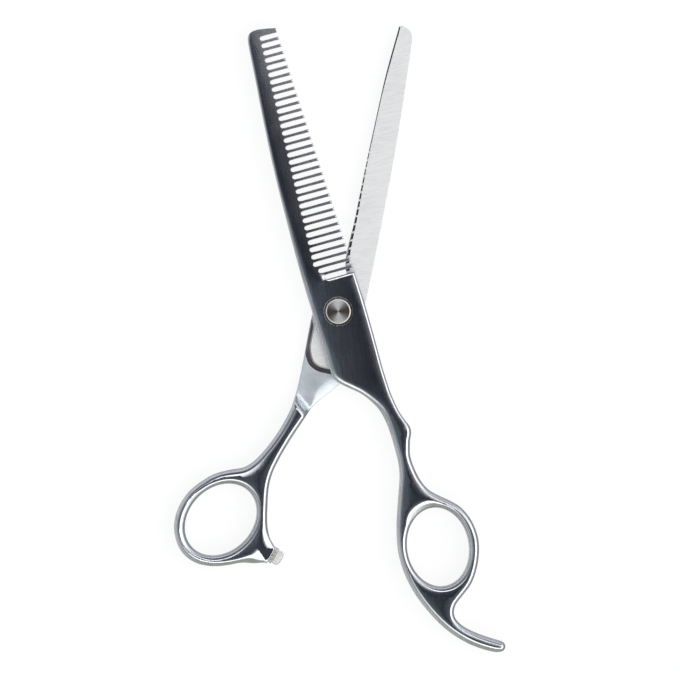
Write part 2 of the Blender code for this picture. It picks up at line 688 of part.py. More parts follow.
def main():
    clear_scene()
    parts = new_collection("thinning_shears")
    cutters = new_collection("cutters")
    materials = {name: make_material(name) for name in LOOKS}
    build_comb_blade(parts, cutters, materials["polished_steel"])
    build_finger_handle(parts, cutters, materials["polished_steel"])
    build_plain_blade(parts, cutters, materials["ground_steel"])
    build_thumb_handle(parts, cutters, materials["polished_steel"])
    build_pivot_post(parts, materials["turned_steel"])
    build_tension_screw(parts, cutters, materials["turned_steel"])
    build_washers(parts, materials)
    build_bumper(parts, materials)
    for part in parts.objects:
        if part.type == "MESH":
            settle(part)


main()
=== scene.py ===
"""Looks of a pair of thinning shears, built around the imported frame.

Lengths are millimetres until a mesh is made.  Each half of the shears is one skin: its outline is
the frame's blade and handle cut level and joined at their weld, its upper and lower faces are
heights over that outline, and every edge has a rounding or a bevel of its own.
"""
import math

import bmesh
import bpy
import numpy as np
from mathutils import Matrix, Vector
from mathutils.bvhtree import BVHTree
from mathutils.geometry import delaunay_2d_cdt


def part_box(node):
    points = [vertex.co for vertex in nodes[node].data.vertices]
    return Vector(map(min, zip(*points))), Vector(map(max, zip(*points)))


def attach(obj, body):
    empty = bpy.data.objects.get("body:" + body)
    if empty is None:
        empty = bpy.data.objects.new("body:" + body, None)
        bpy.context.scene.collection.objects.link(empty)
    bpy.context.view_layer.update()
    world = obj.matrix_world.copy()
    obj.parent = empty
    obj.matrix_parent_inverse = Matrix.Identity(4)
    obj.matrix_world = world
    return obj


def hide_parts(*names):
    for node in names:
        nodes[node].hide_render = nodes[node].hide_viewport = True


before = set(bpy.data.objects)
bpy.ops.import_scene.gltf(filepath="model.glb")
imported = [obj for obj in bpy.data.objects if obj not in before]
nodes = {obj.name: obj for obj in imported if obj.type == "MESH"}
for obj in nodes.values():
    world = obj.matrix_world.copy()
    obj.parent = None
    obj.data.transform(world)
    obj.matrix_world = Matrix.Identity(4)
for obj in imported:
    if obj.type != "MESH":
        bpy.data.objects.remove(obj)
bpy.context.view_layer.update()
MM = 0.001

# Levels, from the frame
COMB_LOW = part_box("comb_blade")[0].z / MM
COMB_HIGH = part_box("comb_blade")[1].z / MM
PLAIN_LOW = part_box("plain_blade")[0].z / MM
PLAIN_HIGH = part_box("plain_blade")[1].z / MM
HANDLE_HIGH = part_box("finger_handle")[1].z / MM
HANDLE_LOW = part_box("finger_handle")[0].z / MM
RIDE_Z = (COMB_LOW + PLAIN_HIGH) / 2

# Pivot
PIVOT_RECESS = 4.10
AT_PIVOT = PIVOT_RECESS + 0.1
HEAD_FLOOR = COMB_HIGH - 0.55
REAR_FLOOR = PLAIN_LOW + 0.95
GLIDE_FLOOR = COMB_LOW + 0.30
BORE = 2.25

# Teeth: the lines of their tips and of their roots, and how far above the heel they begin
TOOTH_RISE = math.radians(15.5)
TIP_TOP, TIP_FOOT = np.array((-17.78, 81.63)), np.array((4.85, 11.20))
ROOT_TOP, ROOT_FOOT = np.array((-22.85, 79.60)), np.array((-7.34, 13.77))
TOOTHED = 0.47
TOOTH_PITCH = 2.17
TOOTH_TIP_THICKNESS = 0.8
TOOTH_CURVE = 14.0
TOOTH_SLOPE = (COMB_HIGH - COMB_LOW - TOOTH_TIP_THICKNESS) / (0.75 * TOOTH_CURVE)
BODY_AXIS = np.array((-0.245, 0.9695))
BODY_MIDDLE = 0.9
BODY_CROWN = 0.0035

# Cutting edge of the plain blade: the line from its foot to its tip, the heights between which it
# is honed, and the bevel on the outer face, which starts a little outside the line
CUTTING_FOOT, CUTTING_TIP = np.array((1.24, 8.40)), np.array((17.65, 82.70))
CUTTING_START, CUTTING_END = 9.0, 82.6
EDGE_THICKNESS = 0.14
GROUND_SLOPE = 0.32
GROUND_OUTSIDE = 0.7

# Welds: a point and the level direction from blade to handle, where the ramp up to the handle
# begins.  The first share of the ramp has the finish of the relief before it.
COMB_WELD = (np.array((12.00, -24.40)), np.array((0.828, -0.560)))
PLAIN_WELD = (np.array((-9.96, -25.30)), np.array((-0.780, -0.626)))
RAMP_LENGTH = 3.6
SOFT_RAMP = 0.34

# Stretches along a weld's direction over which a half swells and its edges turn into the handle's
SWELL = (-4.0, 15.0)
EDGE_CHANGE = (-5.0, 9.0)

# Relief round the ride pad: its depth, the width of the step down to it, and of the groove there
RELIEF_DEPTH = 0.25
PAD_STEP = 0.45
GROOVE_WIDTH = 1.35

# The comb half's inner face is the plain half's, mirrored and turned by this much
MIRROR_TURN = math.radians(4.7)

# Crest of the finger ring's hole, with the way its edge faces there, and the crook between the
# thumb handle's shank and its ring
RING_CREST = np.array((25.5, -57.0))
RING_CREST_WAY = np.array((0.50, -0.866))
CROOK_PLACE = np.array((-27.0, -45.0))

# Foot of the bumper
BUMPER_BASE = np.array((-19.28, -70.42))
BUMPER_TILT = math.radians(-30.0)

# Mesh: spacings, the turns that count as a corner and as straight, how often edge styles are
# averaged, rows of points inside an edge as shares of its width, the least room round lines and
# grid points, and how many points are looked at together
OUTLINE_STEP = 0.38
GRID_STEP = 1.3
CORNER_TURN = math.radians(33.0)
STRAIGHT_TURN = math.radians(0.05)
SOFTENING = 6
FINE_ROWS = (0.03, 0.08, 0.16, 0.27, 0.40, 0.55, 0.72, 0.88, 1.0, 1.14)
FEW_ROWS = (0.35, 1.0)
FINE_WIDTH = 0.4
LINE_ROOM = 0.22
GRID_ROOM = 0.35
BATCH = 2000

# Material slots of the plain half's skin
POLISHED, GROUND, SHANK, LAND, GROOVE = range(5)


# Outlines cut from the frame

def rolled_to(loop, index):
    return np.roll(loop, -index, axis=0)


def lengths(vectors):
    return np.linalg.norm(vectors, axis=1)


def unit(vectors):
    return vectors / lengths(vectors)[:, None]


def signed_area(loop):
    x, y = loop.T
    return float(np.sum(x * np.roll(y, -1) - np.roll(x, -1) * y)) / 2


def turning(loop):
    """Angle between the edges before and after each point."""
    before = loop - np.roll(loop, 1, axis=0)
    after = np.roll(loop, -1, axis=0) - loop
    cross = before[:, 0] * after[:, 1] - before[:, 1] * after[:, 0]
    return np.abs(np.arctan2(cross, np.sum(before * after, axis=1)))


def section_loops(name, height):
    """Closed outlines where a level plane cuts a frame node, the largest first, counter-clockwise."""
    shape = bmesh.new()
    shape.from_mesh(nodes[name].data)
    bmesh.ops.remove_doubles(shape, verts=shape.verts, dist=1e-7)
    bmesh.ops.bisect_plane(shape, geom=[*shape.verts, *shape.edges, *shape.faces], dist=1e-8,
                           plane_co=(0.0, 0.0, height * MM), plane_no=(0.0, 0.0, 1.0),
                           clear_inner=True, clear_outer=True)
    left = set(shape.verts)
    loops = []
    for first in shape.verts:
        if first not in left:
            continue
        walk = [first]
        left.discard(first)
        while True:
            ahead = [edge.other_vert(walk[-1]) for edge in walk[-1].link_edges]
            ahead = [vert for vert in ahead if vert in left]
            if not ahead:
                break
            left.discard(ahead[0])
            walk.append(ahead[0])
        loop = np.array([vert.co.xy for vert in walk]) / MM
        loop = loop[turning(loop) > STRAIGHT_TURN]
        loops.append(loop if signed_area(loop) > 0 else loop[::-1])
    shape.free()
    return sorted(loops, key=lambda loop: -abs(signed_area(loop)))


def run_where(loop, keep):
    """The one unbroken run of points that are kept."""
    start = next(i for i in range(len(loop)) if keep[i] and not keep[i - 1])
    return rolled_to(loop, start)[rolled_to(keep, start)]


def joined_at_weld(blade, handle):
    """One outline from two that stop on either side of a weld."""
    gap = 0.06

    def weld_start(loop, other):
        touching = [np.min(lengths(other - point)) < gap for point in loop]
        return next(i for i in range(len(loop)) if touching[i] and touching[(i + 1) % len(loop)])

    blade_run = rolled_to(blade, weld_start(blade, handle) + 1)
    handle_run = rolled_to(handle, weld_start(handle, blade) + 1)
    return np.concatenate([blade_run, handle_run[1:-1]])


def curve_point(four, knots, t):
    """Place at t on the smooth curve through four points, between the middle two."""
    def mix(a, b, low, high):
        return a + (b - a) * (t - knots[low]) / (knots[high] - knots[low])

    before, start, stop, after = four
    a1, a2, a3 = mix(before, start, 0, 1), mix(start, stop, 1, 2), mix(stop, after, 2, 3)
    return mix(mix(a1, a2, 0, 2), mix(a2, a3, 1, 3), 1, 2)


def smooth_loop(loop, step=OUTLINE_STEP):
    """Dense points on a smooth curve through the loop, sharp only where the loop has a corner."""
    count = len(loop)
    corner = turning(loop) > CORNER_TURN
    dense, sharp = [], []
    for i in range(count):
        start, stop = loop[i], loop[(i + 1) % count]
        before = 2 * start - stop if corner[i] else loop[i - 1]
        after = 2 * stop - start if corner[(i + 1) % count] else loop[(i + 2) % count]
        four = [before, start, stop, after]
        knots = np.cumsum([0.0] + [math.sqrt(np.linalg.norm(b - a) + 1e-9)
                                   for a, b in zip(four, four[1:])])
        pieces = max(1, round(np.linalg.norm(stop - start) / step))
        for piece in range(pieces):
            t = knots[1] + (knots[2] - knots[1]) * piece / pieces
            dense.append(curve_point(four, knots, t))
            sharp.append(corner[i] and piece == 0)
    return np.array(dense), np.array(sharp)


def circle(radius, count=96):
    angles = np.arange(count) * 2 * math.pi / count
    return np.stack([np.cos(angles), np.sin(angles)], axis=1) * radius


def inward_normals(loop):
    ahead = unit(rolled_to(loop, 1) - loop)
    along = unit(ahead + np.roll(ahead, 1, axis=0))
    return np.stack([-along[:, 1], along[:, 0]], axis=1)


# Smooth steps and edge profiles

def ease(value, start, stop):
    t = np.clip((value - start) / (stop - start), 0.0, 1.0)
    return t * t * (3 - 2 * t)


def edge_drop(distance, width, height, roundness, shoulder, fall):
    """How far the face lies below its level at a distance from the outline, and the rate of that.

    The edge is a bevel (roundness 0), a rounding (1) or a mean of both, with a wide and gentle
    shoulder inside it.
    """
    share = np.clip(distance / width, 1e-6, None)
    remaining = 1.0 - share
    softness = 0.2
    root = np.sqrt(remaining * remaining + softness * softness)
    bevel = (remaining + root) / 2
    bevel_rate = -(1 + remaining / root) / 2
    inside = np.clip(share, 0.0, 1.0)
    arc = np.sqrt(np.clip(inside * (2 - inside), 1e-9, 1.0))
    rounded = 1 - arc
    rounded_rate = -(1 - inside) / arc
    drop = height * ((1 - roundness) * bevel + roundness * rounded)
    rate = height / width * ((1 - roundness) * bevel_rate + roundness * rounded_rate)
    rest = np.clip(1 - distance / shoulder, 0.0, 1.0)
    return drop + fall * rest ** 2, rate - 2 * fall / shoulder * rest


def ribbon_tree(points, following):
    """Search tree of the edges between points and the ones that follow them, as upright ribbons."""
    low = [(x, y, -1.0) for x, y in points]
    high = [(x, y, 1.0) for x, y in points]
    count = len(points)
    ribbon = [(i, int(j), int(j) + count, i + count) for i, j in enumerate(following)]
    return BVHTree.FromPolygons(low + high, ribbon)


def even_odd(start, stop, points):
    """Which points lie inside the edges that run from start to stop."""
    inside = np.zeros(len(points), bool)
    rise = stop[:, 1] - start[:, 1]
    rise = np.where(np.abs(rise) < 1e-12, 1e-12, rise)
    run = stop[:, 0] - start[:, 0]
    for begin in range(0, len(points), BATCH):
        batch = slice(begin, begin + BATCH)
        x, y = points[batch].T
        crosses = (start[:, 1][:, None] > y) != (stop[:, 1][:, None] > y)
        at = start[:, 0][:, None] + (y - start[:, 1][:, None]) / rise[:, None] * run[:, None]
        inside[batch] = (crosses & (at > x)).sum(axis=0) % 2 == 1
    return inside


class Outline:
    """A half's outer loop and its holes, the other way round, each with steel on its left.

    The style holds the edge profiles of the upper and the lower face at each point.
    """

    def __init__(self, loops, style):
        loops = loops[:1] + [(loop[::-1], sharp[::-1]) for loop, sharp in loops[1:]]
        self.points = np.concatenate([loop for loop, _ in loops])
        self.sharp = np.concatenate([sharp for _, sharp in loops])
        self.normals = np.concatenate([inward_normals(loop) for loop, _ in loops])
        ends = np.cumsum([len(loop) for loop, _ in loops])
        runs = np.split(np.arange(ends[-1]), ends[:-1])
        self.next = np.concatenate([np.roll(run, -1) for run in runs])
        self.last = np.concatenate([np.roll(run, 1) for run in runs])
        self.style = style(self.points, -self.normals)
        for _ in range(SOFTENING):
            self.style = 0.5 * self.style + 0.25 * (self.style[self.next] + self.style[self.last])
        self.tree = ribbon_tree(self.points, self.next)

    def inside(self, points):
        return even_odd(self.points, self.points[self.next], points)

    def distance(self, x, y):
        return self.tree.find_nearest((x, y, 0.0))[3]

    def nearest(self, points):
        """For each point: distance to the outline, direction away from it, and edge styles there."""
        distance, away = np.zeros(len(points)), np.zeros((len(points), 2))
        style = np.zeros((len(points), self.style.shape[1]))
        for i, (x, y) in enumerate(points):
            place, _, edge, found = self.tree.find_nearest((x, y, 0.0))
            start, stop = self.points[edge], self.points[self.next[edge]]
            span = stop - start
            t = np.clip(((place.x - start[0]) * span[0] + (place.y - start[1]) * span[1])
                        / (span @ span), 0.0, 1.0)
            style[i] = self.style[edge] * (1 - t) + self.style[self.next[edge]] * t
            distance[i] = found
            if found > 1e-4:
                away[i] = (x - place.x) / found, (y - place.y) / found
            else:
                away[i] = self.normals[edge] * (1 - t) + self.normals[self.next[edge]] * t
        away /= lengths(away)[:, None] + 1e-12
        return distance, away, style


def row_points(outline):
    """Rows of points along the edges, where no other part of the outline comes nearer."""
    rows = []
    widest = np.maximum(outline.style[:, 0], outline.style[:, 5])
    for point, normal, sharp, width in zip(outline.points, outline.normals, outline.sharp, widest):
        least = 0.6 if sharp else 0.93
        for share in FINE_ROWS if width > FINE_WIDTH else FEW_ROWS:
            row = point + normal * share * width
            if outline.distance(*row) > least * share * width:
                rows.append(tuple(row))
    return rows


def grid_points(outline):
    low, high = outline.points.min(0), outline.points.max(0)
    rows = np.arange(low[1], high[1], GRID_STEP * math.sqrt(3) / 2)
    return [(x, y) for row, y in enumerate(rows)
            for x in np.arange(low[0] + (row % 2) * GRID_STEP / 2, high[0], GRID_STEP)
            if outline.distance(x, y) > GRID_ROOM]


def filled(outline, lines):
    """Triangles over the outline, with edges on the lines, rows along its edges and a loose grid."""
    verts = [tuple(point) for point in outline.points]
    edges = [(i, int(j)) for i, j in enumerate(outline.next)]
    for line in lines:
        keep = outline.inside(line) & np.array([outline.distance(*p) > LINE_ROOM for p in line])
        number = len(verts) + np.cumsum(keep) - 1
        verts += [tuple(point) for point in line[keep]]
        edges += [(int(number[i]), int(number[i + 1]))
                  for i in range(len(line) - 1) if keep[i] and keep[i + 1]]
    verts += row_points(outline) + grid_points(outline)
    found, _, faces, _, _, _ = delaunay_2d_cdt([Vector(vert) for vert in verts], edges, [], 0, 1e-5)
    points = np.array([vert[:] for vert in found])
    faces = np.array(faces)
    return points, faces[outline.inside(points[faces].mean(axis=1))]


def sheet(points, level, distance, away, profile):
    """Heights of a face and its upward normals; profile holds the five numbers of edge_drop."""
    drop, rate = edge_drop(distance, *profile.T)
    x, y = points.T
    here, tiny = level(x, y), 0.01
    slope_x = (level(x + tiny, y) - here) / tiny - rate * away[:, 0]
    slope_y = (level(x, y + tiny) - here) / tiny - rate * away[:, 1]
    return here - drop, unit(np.stack([-slope_x, -slope_y, np.ones(len(x))], axis=1))


def open_edges(faces):
    """Edges that only one face has, in the order and direction of the faces."""
    edges = dict.fromkeys(edge for a, b, c in faces.tolist() for edge in ((a, b), (b, c), (c, a)))
    return [edge for edge in edges if edge[::-1] not in edges]


def linked(name, mesh):
    """New object in the scene."""
    piece = bpy.data.objects.new(name, mesh)
    bpy.context.scene.collection.objects.link(piece)
    return piece


def skin_mesh(name, verts, polygons, normals, materials, finish):
    """Mesh with a normal for each polygon's corner, of only the points that the polygons use."""
    used = np.zeros(len(verts), bool)
    used[np.concatenate([np.array(polygon) for polygon in polygons])] = True
    renumber = np.cumsum(used) - 1
    polygons = [[int(renumber[i]) for i in polygon] for polygon in polygons]
    mesh = bpy.data.meshes.new(name)
    mesh.from_pydata((verts[used] * MM).tolist(), [], polygons)
    for material in materials:
        mesh.materials.append(material)
    centres = np.zeros(len(polygons) * 3, np.float32)
    mesh.polygons.foreach_get("center", centres)
    facing = np.zeros(len(polygons) * 3, np.float32)
    mesh.polygons.foreach_get("normal", facing)
    slots = finish(centres.reshape(-1, 3) / MM, facing.reshape(-1, 3))
    mesh.polygons.foreach_set("material_index", slots.astype(np.int32))
    mesh.shade_smooth()
    mesh.normals_split_custom_set(np.concatenate(normals).tolist())
    return mesh


def skin(name, outline, lines, top, bottom, materials, finish, bore_profile):
    """Object over an outline, between an upper and a lower face, with a turned hole at the pivot."""
    points, faces = filled(outline, lines)
    distance, away, style = outline.nearest(points)
    high, high_normals = sheet(points, top, distance, away, style[:, 0:5])
    low, low_normals = sheet(points, lambda x, y: -bottom(x, y), distance, away, style[:, 5:10])
    low, low_normals = -low, low_normals * (1, 1, -1)
    count = len(points)
    verts = np.concatenate([np.column_stack([points, high]), np.column_stack([points, low])])
    polygons = [tuple(face) for face in faces] + [tuple(face[::-1] + count) for face in faces]
    normals = [high_normals[faces].reshape(-1, 3), low_normals[faces[:, ::-1]].reshape(-1, 3)]
    bore = []
    for a, b in open_edges(faces):
        if math.hypot(*points[a]) < AT_PIVOT:
            bore.append(a)
        else:
            polygons.append((b, a, a + count, b + count))
            normals.append(np.column_stack([-away[[b, a, a, b]], np.zeros(4)]))
    verts, bore_faces, bore_normals = bore_surface(verts, bore, count, bore_profile)
    mesh = skin_mesh(name, verts, polygons + bore_faces, normals + bore_normals, materials, finish)
    return linked(name, mesh)


def bore_surface(verts, rim, count, profile):
    """Turned wall of the pivot's hole: profile holds radius and height from the upper face down.

    The rim's points on the lower face are numbered by count more than those on the upper one.
    """
    ring = sorted(rim, key=lambda i: math.atan2(verts[i][1], verts[i][0]))
    spokes = unit(verts[ring][:, :2])
    rings = [np.array(ring)]
    for radius, height in profile:
        rings.append(np.arange(len(verts), len(verts) + len(ring)))
        turned = np.column_stack([spokes * radius, np.full(len(ring), height)])
        verts = np.concatenate([verts, turned])
    rings.append(np.array(ring) + count)
    faces, normals = [], []
    for upper, lower in zip(rings, rings[1:]):
        for i in range(len(ring)):
            j = (i + 1) % len(ring)
            face = (int(upper[i]), int(upper[j]), int(lower[j]), int(lower[i]))
            along = verts[face[1]] - verts[face[0]]
            down = verts[face[3]] - verts[face[0]]
            normal = np.cross(down, along)
            normal /= np.linalg.norm(normal) + 1e-12
            faces.append(face[::-1])
            normals.append(np.tile(-normal, (4, 1)))
    return verts, faces, normals


# Levels of the faces

def along_weld(weld, x, y):
    """Distance from the weld line towards the handle."""
    (px, py), (nx, ny) = weld
    return (x - px) * nx + (y - py) * ny


def left_of(foot, top, x, y):
    """Level distance to the left of the line that runs from foot to top."""
    along = (top - foot) / np.linalg.norm(top - foot)
    return (x - foot[0]) * -along[1] + (y - foot[1]) * along[0]


def above_heel(x, y):
    """Distance above the comb's heel edge, square to the teeth."""
    return (y - TIP_FOOT[1]) * math.cos(TOOTH_RISE) - (x - TIP_FOOT[0]) * math.sin(TOOTH_RISE)


def comb_top(x, y):
    """Slightly crowned body, swelling to the handle; the toothed part curves down to the tips."""
    handle = ease(along_weld(COMB_WELD, x, y), *SWELL)
    across = (x * BODY_AXIS[1] - y * BODY_AXIS[0]) - BODY_MIDDLE
    body = COMB_HIGH + (HANDLE_HIGH - COMB_HIGH) * handle - BODY_CROWN * across ** 2 * (1 - handle)
    inward = np.minimum(left_of(TIP_FOOT, TIP_TOP, x, y), TOOTH_CURVE)
    curve = TOOTH_SLOPE * inward * (1 - (inward / TOOTH_CURVE) ** 3 / 4)
    sloped = COMB_LOW + TOOTH_TIP_THICKNESS + curve
    middle = 1.05
    change = 0.6 + 5.0 * ease(left_of(ROOT_FOOT, ROOT_TOP, x, y), -3.0, 2.0)
    toothed = ease(above_heel(x, y), middle - change, middle + change)
    return body + (sloped - body) * toothed


def pad_distance(x, y):
    """How far a point lies outside the plain half's ride pad, negative on the pad."""
    place = np.stack([np.ravel(x), np.ravel(y)], axis=1)
    found = np.array([PAD_TREE.find_nearest((px, py, 0.0))[3] for px, py in place])
    sign = np.where(even_odd(PAD_LOOP, np.roll(PAD_LOOP, -1, axis=0), place), -1.0, 1.0)
    return (found * sign).reshape(np.shape(x))


def inner_rise(weld, x, y, pad):
    """Height of an inner face beyond its ride plane: relieved past the pad, then up the ramp."""
    relief = -RELIEF_DEPTH * ease(pad, 0.0, PAD_STEP)
    ramp = ease(along_weld(weld, x, y), 0.0, RAMP_LENGTH)
    return relief + (HANDLE_HIGH - PLAIN_HIGH + RELIEF_DEPTH) * ramp


def plain_top(x, y):
    """Ride pad, relief and ramp."""
    return PLAIN_HIGH + inner_rise(PLAIN_WELD, x, y, pad_distance(x, y))


def turned_by(angle, x, y):
    cos, sin = math.cos(angle), math.sin(angle)
    return x * cos - y * sin, x * sin + y * cos


def comb_bottom(x, y):
    """Mirror image of the plain half's inner face, turned a little."""
    back_x, back_y = turned_by(-MIRROR_TURN, x, y)
    return COMB_LOW - inner_rise(COMB_WELD, x, y, pad_distance(-back_x, back_y))


def plain_bottom(x, y):
    """Outer face: ground down to the cutting edge, and swelling to the handle."""
    handle = ease(along_weld(PLAIN_WELD, x, y), *SWELL)
    body = PLAIN_LOW + (HANDLE_LOW - PLAIN_LOW) * handle
    inward = GROUND_OUTSIDE - left_of(CUTTING_FOOT, CUTTING_TIP, x, y)
    gap = PLAIN_HIGH - EDGE_THICKNESS - GROUND_SLOPE * inward - body
    softness = 0.3
    above = (gap + np.sqrt(gap * gap + softness * softness)) / 2
    return body + above * ease(y, 4.0, 10.0)


# Edge profiles, for the upper face and then the lower one: width, height and roundness of the
# edge, then width and fall of the shoulder inside it

THIN = (0.05, 0.05, 1.0, 1.0, 0.0)
FAINT = (0.10, 0.08, 1.0, 1.0, 0.0)
SPINE = (2.1, 0.90, 1.0, 1.0, 0.0)
SPINE_TOP = (0.8, 0.70, 1.0, 2.5, 0.04)
SPINE_FOOT = (3.2, 0.90, 1.0, 1.0, 0.0)
FRONT = (0.8, 0.80, 1.0, 2.8, 0.27)
HEEL = (2.2, 1.00, 1.0, 1.0, 0.0)
HEEL_TOP = (0.80, 0.30, 0.65, 1.0, 0.0)
ROUND_LEFT = (1.75, 1.40, 1.0, 4.0, 0.50)
ROUND_RIGHT = (1.15, 1.25, 1.0, 4.0, 0.50)
ROUND_BELOW = (1.45, 1.40, 1.0, 1.0, 0.0)
HONED = (0.25, 0.03, 0.2, 1.0, 0.0)
PIVOT_TOP = (0.12, 0.001, 1.0, 1.0, 0.0)
SPUR = (5.4, 1.95, 0.25, 1.0, 0.0)
SPUR_RIGHT = (2.3, 1.25, 0.62, 1.0, 0.0)
CROOK = (1.75, 1.40, 1.0, 5.0, 0.80)
RING_LEFT = (1.9, 1.30, 1.0, 4.0, 0.5)
RING_TOP = (2.5, 1.25, 0.55, 4.0, 0.4)
SEAT = (0.25, 0.25, 1.0, 1.0, 0.0)
UNDER_BEVEL = (0.8, 0.80, 0.3, 1.0, 0.0)
SHANK_BEVEL = (2.9, 0.95, 0.35, 1.0, 0.0)
SHANK_EDGE = (0.5, 0.40, 1.0, 1.0, 0.0)


def blended(style, profile, share):
    """The style moved towards a profile, wholly where the share is 1."""
    return style + (np.array(profile) - style) * np.asarray(share, float)[:, None]


def everywhere(profile, points):
    return np.tile(profile, (len(points), 1))


def near(points, place, none, full):
    """Share that rises from 0 to 1 between two distances from a place."""
    return ease(-lengths(points - place), -none, -full)


def at_pivot(points):
    return lengths(points) < AT_PIVOT


def handle_edges(upper, outward, share):
    """Handle edges, rounder on their left flanks than on their right ones."""
    to_right = ease(outward[:, 0], -0.6, 0.6)
    handle = blended(everywhere(ROUND_LEFT, outward), ROUND_RIGHT, to_right)
    return upper + (handle - upper) * share[:, None]


def comb_style(points, outward):
    """Edge profiles of the comb half."""
    x, y = points.T
    to_right, up = outward.T
    along = along_weld(COMB_WELD, x, y)
    heel = above_heel(x, y)
    upper = everywhere(FRONT, points)
    upper = blended(upper, HEEL, ease(-up, 0.3, 0.7) * ease(-y, 15.0, 18.0))
    # The back, which faces left, narrows towards the tip and widens below the pivot
    spine = blended(everywhere(SPINE, points), SPINE_TOP, ease(y, 2.0, 40.0))
    spine = blended(spine, SPINE_FOOT, ease(-y, 8.0, 17.0))
    upper += (spine - upper) * ease(-to_right, 0.45, 0.85)[:, None]
    # On the handle's right flank its edges begin at the nib, and gradually elsewhere
    notch = ease(-y, 32.4, 33.0)
    share = ease(along, *EDGE_CHANGE)
    share += (notch - share) * ease(to_right, 0.3, 0.8)
    upper = handle_edges(upper, outward, share)
    ring_top = near(points, RING_CREST, 12.0, 6.0) * ease(outward @ RING_CREST_WAY, 0.75, 0.97)
    upper = blended(upper, RING_TOP, ring_top)
    upper = blended(upper, HEEL_TOP, (heel > 0.2) & (heel < TOOTHED) & (up > 0.5))
    # Teeth and the end prong keep crisp edges
    teeth = (heel > TOOTHED) & (left_of(ROOT_FOOT, ROOT_TOP, x, y) < 1.6)
    end = (y > 79.0) & (up > 0.3)
    upper = blended(upper, THIN, teeth | end)
    upper = blended(upper, FAINT, at_pivot(points))
    lower = blended(everywhere(FAINT, points), ROUND_BELOW, ease(along, 0.5, RAMP_LENGTH))
    return np.column_stack([upper, lower])


def plain_style(points, outward):
    """Edge profiles of the plain half."""
    x, y = points.T
    to_right, up = outward.T
    along = along_weld(PLAIN_WELD, x, y)
    cutting = (to_right < -0.5) & (y > 8.0)
    upper = blended(everywhere(THIN, points), HONED, cutting)
    # Shank: a fine edge, and a broad bevel where it faces down and to the right
    below_pivot = ease(-y, 1.0, 4.0)
    corner = ease(to_right - up, 0.6, 1.1)
    upper = blended(upper, SHANK_EDGE, below_pivot * np.maximum(corner, ease(-to_right, 0.3, 0.8)))
    upper = blended(upper, SHANK_BEVEL, below_pivot * corner * ease(x, -8.0, -4.5))
    upper = blended(upper, PIVOT_TOP, at_pivot(points))
    upper = handle_edges(upper, outward, ease(along, 0.5, RAMP_LENGTH))
    # Thumb handle: the crook, the hole's left side and the spur's two flanks
    crook = near(points, CROOK_PLACE, 7.5, 2.5) * ease(up, 0.4, 0.9)
    upper = blended(upper, CROOK, crook)
    ring_left = ease(-x, 38.0, 42.0) * ease(to_right, 0.4, 0.8)
    upper = blended(upper, RING_LEFT, ring_left)
    right_flank = ease(x, -26.0, -22.0) * ease(-y, 61.0, 66.0) * ease(to_right, 0.4, 0.8)
    upper = blended(upper, SPUR_RIGHT, right_flank)
    by_bumper = ease(x, -28.5, -21.5) * ease(-y, 64.0, 66.0) * ease(-up, 0.4, 0.8)
    upper = blended(upper, SPUR, by_bumper)
    # The bumper's seat stays flat
    axis = np.array((math.cos(BUMPER_TILT), math.sin(BUMPER_TILT)))
    seat = (lengths(points - BUMPER_BASE) < 2.7) & (outward @ axis > 0.7)
    upper = blended(upper, SEAT, seat)
    lower = blended(everywhere(FAINT, points), UNDER_BEVEL, ~(at_pivot(points) | cutting))
    lower = blended(lower, ROUND_BELOW, ease(along, *EDGE_CHANGE))
    lower = blended(lower, SEAT, seat)
    return np.column_stack([upper, lower])


# The two halves

# Outline of the plain half's ride pad and blade: everything that its relief leaves standing
PAD_LOOP = smooth_loop(section_loops("plain_blade", PLAIN_HIGH - RELIEF_DEPTH / 3)[0], 0.5)[0]
PAD_TREE = ribbon_tree(PAD_LOOP, np.roll(np.arange(len(PAD_LOOP)), -1))


def beyond(loop, distance):
    """Closed line at a distance outside a loop."""
    line = loop - inward_normals(loop) * distance
    return np.concatenate([line, line[:1]])


def pad_lines(loop):
    return [beyond(loop, distance) for distance in (0.0, 0.15, 0.3, PAD_STEP, PAD_STEP + GROOVE_WIDTH)]


def weld_lines(weld):
    """Level lines up a ramp, each with points along it."""
    origin, normal = weld
    across = np.array((-normal[1], normal[0]))
    steps = np.arange(-12.0, 12.0, 0.5)
    return [origin + normal * rise + steps[:, None] * across
            for rise in np.linspace(-0.3, RAMP_LENGTH + 0.3, 11)]


def mirrored(points):
    """Points of the plain half's inner face carried over to the comb half's."""
    return np.column_stack(turned_by(MIRROR_TURN, -points[:, 0], points[:, 1]))


def half_outline(blade, handle, ring, style):
    """Outline of a half: blade and handle joined, the finger ring's hole and the pivot's."""
    pivot = circle(PIVOT_RECESS)
    return Outline([smooth_loop(joined_at_weld(blade, handle)), smooth_loop(ring),
                    (pivot, np.zeros(len(pivot), bool))], style)


def comb_half(materials):
    level = (HANDLE_LOW + HANDLE_HIGH) / 2 + 0.65
    blade = section_loops("comb_blade", level)[0]
    handle, ring = section_loops("finger_handle", level)[:2]
    outline = half_outline(blade, handle, ring, comb_style)
    bore = ((PIVOT_RECESS, HEAD_FLOOR), (BORE, HEAD_FLOOR), (BORE, GLIDE_FLOOR),
            (PIVOT_RECESS, GLIDE_FLOOR))
    lines = weld_lines(COMB_WELD) + [mirrored(line) for line in pad_lines(PAD_LOOP)]

    def finish(centres, facing):
        return np.full(len(centres), POLISHED)

    piece = skin("comb_half_skin", outline, lines, comb_top, comb_bottom, materials, finish, bore)
    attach(piece, "comb_half")
    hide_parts("comb_blade", "finger_handle")


def land_width(y):
    """Width of the polished land along the cutting edge."""
    at_tip, lower, lowest = ease(y, 60.0, 74.0), ease(-y, -50.0, -20.0), ease(-y, -26.0, -12.0)
    return 0.26 + 0.18 * at_tip + 0.45 * lower + 0.45 * lowest


